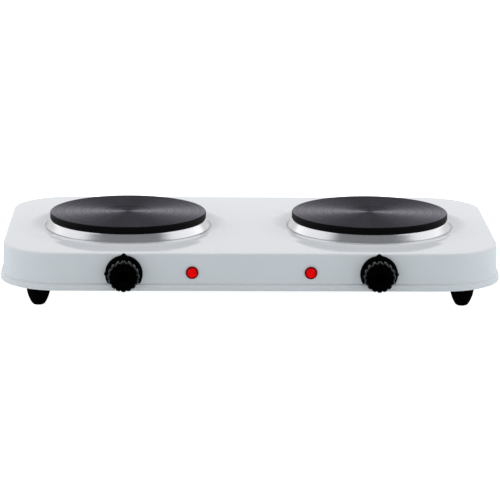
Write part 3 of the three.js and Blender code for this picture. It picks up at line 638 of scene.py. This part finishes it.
# Painted shade: the face's reflections are tinted dark grey, fading to full reflection towards the
# lobes.
face_shade_fade = add_node(tree, "MapRange", {"Value": depth, "From Min": face_front + FACE_SHADE_DEPTH,
                                     "From Max": face_front + FULL_REFLECTION_DEPTH}).outputs["Result"]
face_reflection_shade = add_node(tree, "Mix", {0: face_shade_fade, 6: linear("#212121"), 7: linear("#ffffff")},
                 data_type="RGBA").outputs[2]
flow = add_node(tree, "TexNoise",
                {"Vector": place, "Scale": pattern_scale(3.85), "Detail": 3.0,
                 "Distortion": 0.6}).outputs[0]
grain = add_node(tree, "TexNoise",
                 {"Vector": place, "Scale": pattern_scale(0.556), "Detail": 1.0}).outputs[0]
tone = add_node(tree, "Mix", {0: flow, 6: linear("#010101"), 7: linear("#030304")},
                data_type="RGBA").outputs[2]
rough = add_node(tree, "MapRange",
                 {"Value": flow, "To Min": 0.08, "To Max": 0.15}).outputs["Result"]
skin = add_node(tree, "Bump", {"Height": grain, "Strength": 0.12, "Distance": 0.00003}).outputs[0]
tree.links.new(tone, shader.inputs["Base Color"])
tree.links.new(face_reflection_shade, shader.inputs["Specular Tint"])
tree.links.new(rough, shader.inputs["Roughness"])
tree.links.new(skin, shader.inputs["Normal"])

for side in ("left", "right"):
    grip = bmesh.new()
    inside = [add_lobed_ring(grip, z, radius, radius) for z, radius in reversed(KNOB_HOLLOW)]
    outside = [add_lobed_ring(grip, *level) for level in KNOB_LEVELS]
    face = [add_lobed_ring(grip, z, radius, radius) for z, radius in KNOB_FACE]
    link_rings(grip, inside + outside + face)
    bmesh.ops.contextual_create(grip, geom=face[-1])
    bmesh.ops.contextual_create(grip, geom=inside[0])
    bmesh.ops.recalc_face_normals(grip, faces=grip.faces)
    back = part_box(f"knob_{side}")[1].y / MM
    finish_piece(f"fluted_knob_{side}", grip, phenolic, f"{side}_control",
                 [f"knob_{side}"], axis_place(f"thermostat_shaft_{side}", back))


# ---------------------------------------------------------------- pilot lamps
# A red polycarbonate lens, moulded with small facets that scatter the neon's light. Its flange
# lies against the wall, and its barrel is pushed through the wall and held by a spring clip.

LENS_PROFILE = [(0.0, 3.2), (1.2, 3.14), (2.4, 2.92), (3.4, 2.5), (4.1, 1.9), (4.5, 1.35),
                (4.75, 1.15), (5.6, 1.1), (5.9, 0.95), (6.05, 0.65), (6.05, 0.0), (4.2, 0.0),
                (4.2, -9.2), (3.2, -9.2), (3.2, -0.5), (0.0, -0.5)]
LENS_STEPS = 48
DOME_ENDS = 4.3 * MM
FLANGE_STARTS = 4.7 * MM

for side in ("left", "right"):
    middle = node_centre(f"lamp_lens_{side}")
    # Red polycarbonate: saturated and glassy. Its colour has painted highlights in cells 1.6 mm
    # across, standing for facets that face the light, painted shade on the flange, and a painted
    # glow that is bright in the cells and faint on the flange.
    red, tree, shader, place = start_material(f"red_polycarbonate_{side}", IOR=1.58,
                                              Roughness=0.15, Specular_IOR_Level=0.04)
    shift = (-middle.x * MM, 0, -middle.z * MM)
    moved = add_node(tree, "Mapping", {"Vector": place, "Location": shift}).outputs[0]
    level = add_node(tree, "VectorMath", {0: moved, 1: (1, 0, 1)},
                     operation="MULTIPLY").outputs[0]
    radius = add_node(tree, "VectorMath", {0: level}, operation="LENGTH").outputs["Value"]
    facets = add_node(tree, "TexVoronoi", {"Vector": level, "Scale": pattern_scale(1.61)})
    pick = add_node(tree, "SeparateColor", {0: facets.outputs["Color"]}).outputs[0]
    lit_facet_highlights = add_node(tree, "Mix", {0: pick, 6: linear("#c40000"), 7: linear("#ff0000")},
                      data_type="RGBA").outputs[2]
    flange_shade_mask = add_node(tree, "MapRange",
                      {"Value": radius, "From Min": DOME_ENDS, "From Max": FLANGE_STARTS},
                      interpolation_type="SMOOTHSTEP").outputs["Result"]
    tone = add_node(tree, "Mix", {0: flange_shade_mask, 6: lit_facet_highlights, 7: linear("#780008")},
                    data_type="RGBA").outputs[2]
    tree.links.new(tone, shader.inputs["Base Color"])
    painted_glow = add_node(tree, "Mix", {0: flange_shade_mask, 6: lit_facet_highlights, 7: linear("#100000")},
                    data_type="RGBA").outputs[2]
    tree.links.new(painted_glow, shader.inputs["Emission Color"])
    # The lens gives off a painted glow of its own.
    shader.inputs["Emission Strength"].default_value = 0.3
    prisms = add_node(tree, "Bump", {"Height": facets.outputs["Distance"], "Strength": 0.3,
                                     "Distance": 0.0002}).outputs[0]
    tree.links.new(prisms, shader.inputs["Normal"])
    lens = spun(LENS_PROFILE, LENS_STEPS)
    dome_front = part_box(f"lamp_lens_{side}")[0].y / MM
    finish_piece(f"pilot_lens_{side}", lens, red, "hotplate_body",
                 [f"lamp_lens_{side}"],
                 axis_place(f"lamp_lens_{side}", dome_front + LENS_PROFILE[0][1]))


# ---------------------------------------------------------------- feet
# Four bell-shaped feet moulded in black rubber. Each is held up to the base plate by a screw
# that comes down through the plate into the bore in its top.

FOOT_PROFILE = [(0.0, 0.0), (3.7, 0.0), (4.7, 0.18), (5.5, 0.6), (6.4, 1.5), (7.3, 2.9),
                (8.2, 4.6), (9.3, 7.0), (10.2, 9.5), (10.9, 12.2), (11.4, 15.0), (11.7, 18.2),
                (11.8, 21.2), (11.8, 23.6), (11.8, 25.7), (11.5, 26.1), (2.1, 26.1),
                (2.1, 12.0), (0.0, 12.0)]
FOOT_STEPS = 72

# Moulded rubber: matt, carbon black, with a soft bloom and a slightly pebbled skin. The real
# pebbles are about 0.2 mm, drawn here 0.8 mm across so that they show.
rubber, tree, shader, place = start_material("moulded_rubber", IOR=1.52, Specular_IOR_Level=0.02)
pebbles = add_node(tree, "TexNoise",
                   {"Vector": place, "Scale": pattern_scale(0.769), "Detail": 2.0}).outputs[0]
bloom = add_node(tree, "TexNoise",
                 {"Vector": place, "Scale": pattern_scale(8.33), "Detail": 3.0}).outputs[0]
tone = add_node(tree, "Mix", {0: bloom, 6: linear("#020202"), 7: linear("#050506")},
                data_type="RGBA").outputs[2]
rough = add_node(tree, "MapRange", {"Value": bloom, "To Min": 0.6, "To Max": 0.8}).outputs["Result"]
pebbled = add_node(tree, "Bump",
                   {"Height": pebbles, "Strength": 0.3, "Distance": 0.00006}).outputs[0]
tree.links.new(tone, shader.inputs["Base Color"])
tree.links.new(rough, shader.inputs["Roughness"])
tree.links.new(pebbled, shader.inputs["Normal"])

for end in ("front", "rear"):
    for side in ("left", "right"):
        node = f"foot_{end}_{side}"
        middle = node_centre(node)
        finish_piece(f"bell_{node}", spun(FOOT_PROFILE, FOOT_STEPS), rubber, "hotplate_body",
                     [node], Matrix.Translation((middle.x, middle.y, 0)))


# ---------------------------------------------------------------- cord grommet
# A black rubber bush in the rear wall, grooved to grip the edge of the sheet, with a free bore
# for the supply cord and a short ribbed nose.

GROMMET_PROFILE = [(4.6, -3.0), (9.4, -3.0), (9.7, -2.6), (9.7, -0.3), (9.4, 0.0), (6.0, 0.0),
                   (6.0, 1.9), (9.6, 1.9), (10.0, 2.2), (9.9, 3.3), (9.5, 3.9), (8.0, 4.7),
                   (7.5, 5.2), (7.3, 5.7), (7.1, 5.9), (7.2, 6.4), (7.0, 6.8), (6.9, 7.5),
                   (6.6, 7.9), (5.0, 7.9), (4.6, 7.5)]
GROMMET_STEPS = 64

nose_length = max(height for radius, height in GROMMET_PROFILE)
grommet_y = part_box("cable_gland")[1].y / MM - nose_length
grommet_place = Matrix.Translation((0, grommet_y, node_centre("cable_gland").z))
facing_back = Matrix.Rotation(-math.pi / 2, 4, "X")
finish_piece("cord_grommet", spun(GROMMET_PROFILE, GROMMET_STEPS), rubber, "hotplate_body",
             ["cable_gland"], grommet_place @ facing_back)


# ---------------------------------------------------------------- base plate
# Galvanised sheet, cut flat and slotted for air, that closes the pan from below. The nuts on
# the plates' studs hold it up inside the rim.

# Hot-dip galvanising: bright grey zinc in crystal patches 9 mm across, clouded more broadly.
galvanised, tree, shader, place = start_material("galvanised_steel", Metallic=1.0)
spangle = add_node(tree, "TexVoronoi",
                   {"Vector": place, "Scale": pattern_scale(9.09)}).outputs["Color"]
facet = add_node(tree, "SeparateColor", {0: spangle}).outputs[0]
streaks = add_node(tree, "TexNoise",
                   {"Vector": place, "Scale": pattern_scale(28.6), "Detail": 4.0}).outputs[0]
tone = add_node(tree, "Mix", {0: facet, 6: linear("#8d9194"), 7: linear("#b4b8ba")},
                data_type="RGBA").outputs[2]
rough = add_node(tree, "MapRange",
                 {"Value": streaks, "To Min": 0.35, "To Max": 0.55}).outputs["Result"]
tree.links.new(tone, shader.inputs["Base Color"])
tree.links.new(rough, shader.inputs["Roughness"])


def dress(material, *nodes):
    """Gives kept CAD nodes their finish."""
    for name in nodes:
        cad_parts[name].data.materials.clear()
        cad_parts[name].data.materials.append(material)


dress(galvanised, "base_plate")


# ---------------------------------------------------------------- fixings, spindles and brackets
# Screws, studs, nuts and spindles of turned steel, and yokes and clips of pressed steel, all zinc
# plated in a barrel. The studs clamp the plates down; the screws hold feet and thermostats.

# Bright zinc plate: pale bluish metal, clouded where the plating is thinner, finely scuffed.
zinc, tree, shader, place = start_material("zinc_plated_steel", Metallic=1.0)
clouds = add_node(tree, "TexNoise",
                  {"Vector": place, "Scale": pattern_scale(6.25), "Detail": 3.0}).outputs[0]
scuffs = add_node(tree, "TexNoise",
                  {"Vector": place, "Scale": pattern_scale(0.667), "Detail": 2.0,
                   "Distortion": 0.8}).outputs[0]
tone = add_node(tree, "Mix", {0: clouds, 6: linear("#a3a8ae"), 7: linear("#c6c8c6")},
                data_type="RGBA").outputs[2]
rough = add_node(tree, "MapRange",
                 {"Value": scuffs, "To Min": 0.24, "To Max": 0.42}).outputs["Result"]
scuffed = add_node(tree, "Bump",
                   {"Height": scuffs, "Strength": 0.15, "Distance": 0.00004}).outputs[0]
tree.links.new(tone, shader.inputs["Base Color"])
tree.links.new(rough, shader.inputs["Roughness"])
tree.links.new(scuffed, shader.inputs["Normal"])

for side in ("left", "right"):
    dress(zinc, f"foot_screw_front_{side}", f"foot_screw_rear_{side}", f"plate_stud_{side}",
          f"shield_nut_{side}", f"base_nut_{side}", f"thermostat_shaft_{side}",
          f"thermostat_bracket_{side}", f"lamp_clip_{side}",
          f"thermostat_screw_{side}_inner", f"thermostat_screw_{side}_outer")


# ---------------------------------------------------------------- heat shields
# A shallow pan of aluminised sheet under each plate, held by the plate's stud, which keeps
# the plate's heat off the wiring.

# Aluminised steel: a soft satin grey with rolling streaks along the sheet.
aluminised, tree, shader, place = start_material("aluminised_steel", Metallic=1.0)
stretched = add_node(tree, "Mapping", {"Vector": place, "Scale": (1, 14, 1)}).outputs[0]
rolling = add_node(tree, "TexNoise",
                   {"Vector": stretched, "Scale": pattern_scale(16.7), "Detail": 4.0}).outputs[0]
tone = add_node(tree, "Mix", {0: rolling, 6: linear("#a9acac"), 7: linear("#c2c4c2")},
                data_type="RGBA").outputs[2]
rough = add_node(tree, "MapRange",
                 {"Value": rolling, "To Min": 0.4, "To Max": 0.55}).outputs["Result"]
rolled = add_node(tree, "Bump",
                  {"Height": rolling, "Strength": 0.1, "Distance": 0.00005}).outputs[0]
tree.links.new(tone, shader.inputs["Base Color"])
tree.links.new(rough, shader.inputs["Roughness"])
tree.links.new(rolled, shader.inputs["Normal"])
dress(aluminised, "heat_shield_left", "heat_shield_right")


# ---------------------------------------------------------------- heating coils
# Nickel-chromium wire, wound into a coil and bedded in the trough under each plate, which it
# heats. An insulation disc closes the trough below it.

# Oxidised nickel chromium: a dull green-grey scale with bare brighter flecks.
oxidised, tree, shader, place = start_material("oxidised_resistance_wire", Metallic=1.0)
scale = add_node(tree, "TexNoise",
                 {"Vector": place, "Scale": pattern_scale(1.43), "Detail": 3.0}).outputs[0]
tone = add_node(tree, "Mix", {0: scale, 6: linear("#4a4843"), 7: linear("#7c7974")},
                data_type="RGBA").outputs[2]
rough = add_node(tree, "MapRange", {"Value": scale, "To Min": 0.7, "To Max": 0.5}).outputs["Result"]
tree.links.new(tone, shader.inputs["Base Color"])
tree.links.new(rough, shader.inputs["Roughness"])
dress(oxidised, "heating_coil_left", "heating_coil_right")


# ---------------------------------------------------------------- ceramic parts
# Pressed and fired steatite: the discs that close the coils' troughs, the plates' terminals,
# the thermostats' bodies and the terminal block.

# Steatite: a dense cream ceramic, slightly waxy, with fine brown iron specks.
steatite, tree, shader, place = start_material("fired_steatite", IOR=1.6, Specular_IOR_Level=0.35)
clay = add_node(tree, "TexNoise",
                {"Vector": place, "Scale": pattern_scale(4.55), "Detail": 3.0}).outputs[0]
iron_specks = add_node(tree, "TexNoise",
                       {"Vector": place, "Scale": pattern_scale(0.625), "Detail": 1.0}).outputs[0]
speck_mask = add_node(tree, "MapRange",
                      {"Value": iron_specks, "From Min": 0.66, "From Max": 0.72}).outputs["Result"]
cream = add_node(tree, "Mix", {0: clay, 6: linear("#dcd7c8"), 7: linear("#ece8dc")},
                 data_type="RGBA").outputs[2]
tone = add_node(tree, "Mix", {0: speck_mask, 6: cream, 7: linear("#9b8a70")},
                data_type="RGBA").outputs[2]
rough = add_node(tree, "MapRange", {"Value": clay, "To Min": 0.45, "To Max": 0.6}).outputs["Result"]
pressed = add_node(tree, "Bump",
                   {"Height": iron_specks, "Strength": 0.15, "Distance": 0.00005}).outputs[0]
tree.links.new(tone, shader.inputs["Base Color"])
tree.links.new(rough, shader.inputs["Roughness"])
tree.links.new(pressed, shader.inputs["Normal"])
for side in ("left", "right"):
    dress(steatite, f"insulation_disc_{side}", f"plate_terminal_{side}", f"thermostat_body_{side}")
dress(steatite, "terminal_block")


# ---------------------------------------------------------------- neon lamps
# A small glass envelope, blown and pinched, with its electrodes inside. One sits in the barrel
# of each lens and glows while its plate is on.

# Soda glass: clear with a faint smoky bloom near the seal.
soda_glass, tree, shader, place = start_material("blown_soda_glass",
                                                 IOR=1.52, Transmission_Weight=0.85)
bloom = add_node(tree, "TexNoise",
                 {"Vector": place, "Scale": pattern_scale(2), "Detail": 2.0}).outputs[0]
tone = add_node(tree, "Mix", {0: bloom, 6: linear("#e6ddd2"), 7: linear("#f6f1ea")},
                data_type="RGBA").outputs[2]
rough = add_node(tree, "MapRange",
                 {"Value": bloom, "To Min": 0.04, "To Max": 0.14}).outputs["Result"]
tree.links.new(tone, shader.inputs["Base Color"])
tree.links.new(rough, shader.inputs["Roughness"])
dress(soda_glass, "neon_lamp_left", "neon_lamp_right")


# ---------------------------------------------------------------- wiring
# Copper leads in sleeves of braided glass fibre, coloured for live, neutral, earth and the
# switched leads, run across the base plate from the terminal block to each side.

SLEEVE_BRAID = 1.1
SLEEVES = {
    "white": ("#e6e2d6", "#f2efe6", ["element_wire_left", "element_wire_right",
                                     "lamp_wire_left", "lamp_wire_right"]),
    "brown": ("#5f3521", "#7b4a30", ["live_wire_left", "live_wire_right"]),
    "blue": ("#274f8a", "#3a67a6", ["neutral_wire_left", "neutral_wire_right"]),
    "green": ("#4f8433", "#6fa94a", ["earth_wire"]),
}
for colour, (shade, light, wires) in SLEEVES.items():
    # Varnished glass-fibre braid: dyed strands that cross every millimetre or so, slightly shiny
    # on top, with finer loose fibres between them. Each strand is painted lighter at its middle,
    # with painted shade towards its edges where the strands meet.
    braid, tree, shader, place = start_material(f"{colour}_glass_fibre_braid",
                                                IOR=1.5, Specular_IOR_Level=0.4)
    cells = add_node(tree, "TexVoronoi", {"Vector": place, "Scale": pattern_scale(SLEEVE_BRAID)})
    strands = cells.outputs["Distance"]
    fuzz = add_node(tree, "TexNoise",
                    {"Vector": place, "Scale": pattern_scale(0.556), "Detail": 2.0}).outputs[0]
    tone = add_node(tree, "Mix", {0: strands, 6: linear(light), 7: linear(shade)},
                    data_type="RGBA").outputs[2]
    rough = add_node(tree, "MapRange",
                     {"Value": fuzz, "To Min": 0.5, "To Max": 0.7}).outputs["Result"]
    woven = add_node(tree, "Bump",
                     {"Height": strands, "Strength": 0.5, "Distance": 0.0002}).outputs[0]
    tree.links.new(tone, shader.inputs["Base Color"])
    tree.links.new(rough, shader.inputs["Roughness"])
    tree.links.new(woven, shader.inputs["Normal"])
    dress(braid, *wires)


# ---------------------------------------------------------------- earth screw
# A turned brass screw that bonds the earth lead to the base plate, driven into the sheet beside
# the terminal block.

# Machined brass: warm yellow metal, slightly tarnished in patches.
brass, tree, shader, place = start_material("machined_brass", Metallic=1.0)
tarnish = add_node(tree, "TexNoise",
                   {"Vector": place, "Scale": pattern_scale(2.5), "Detail": 3.0}).outputs[0]
tone = add_node(tree, "Mix", {0: tarnish, 6: linear("#a98546"), 7: linear("#d6b66c")},
                data_type="RGBA").outputs[2]
rough = add_node(tree, "MapRange",
                 {"Value": tarnish, "To Min": 0.42, "To Max": 0.25}).outputs["Result"]
tree.links.new(tone, shader.inputs["Base Color"])
tree.links.new(rough, shader.inputs["Roughness"])
dress(brass, "earth_screw")
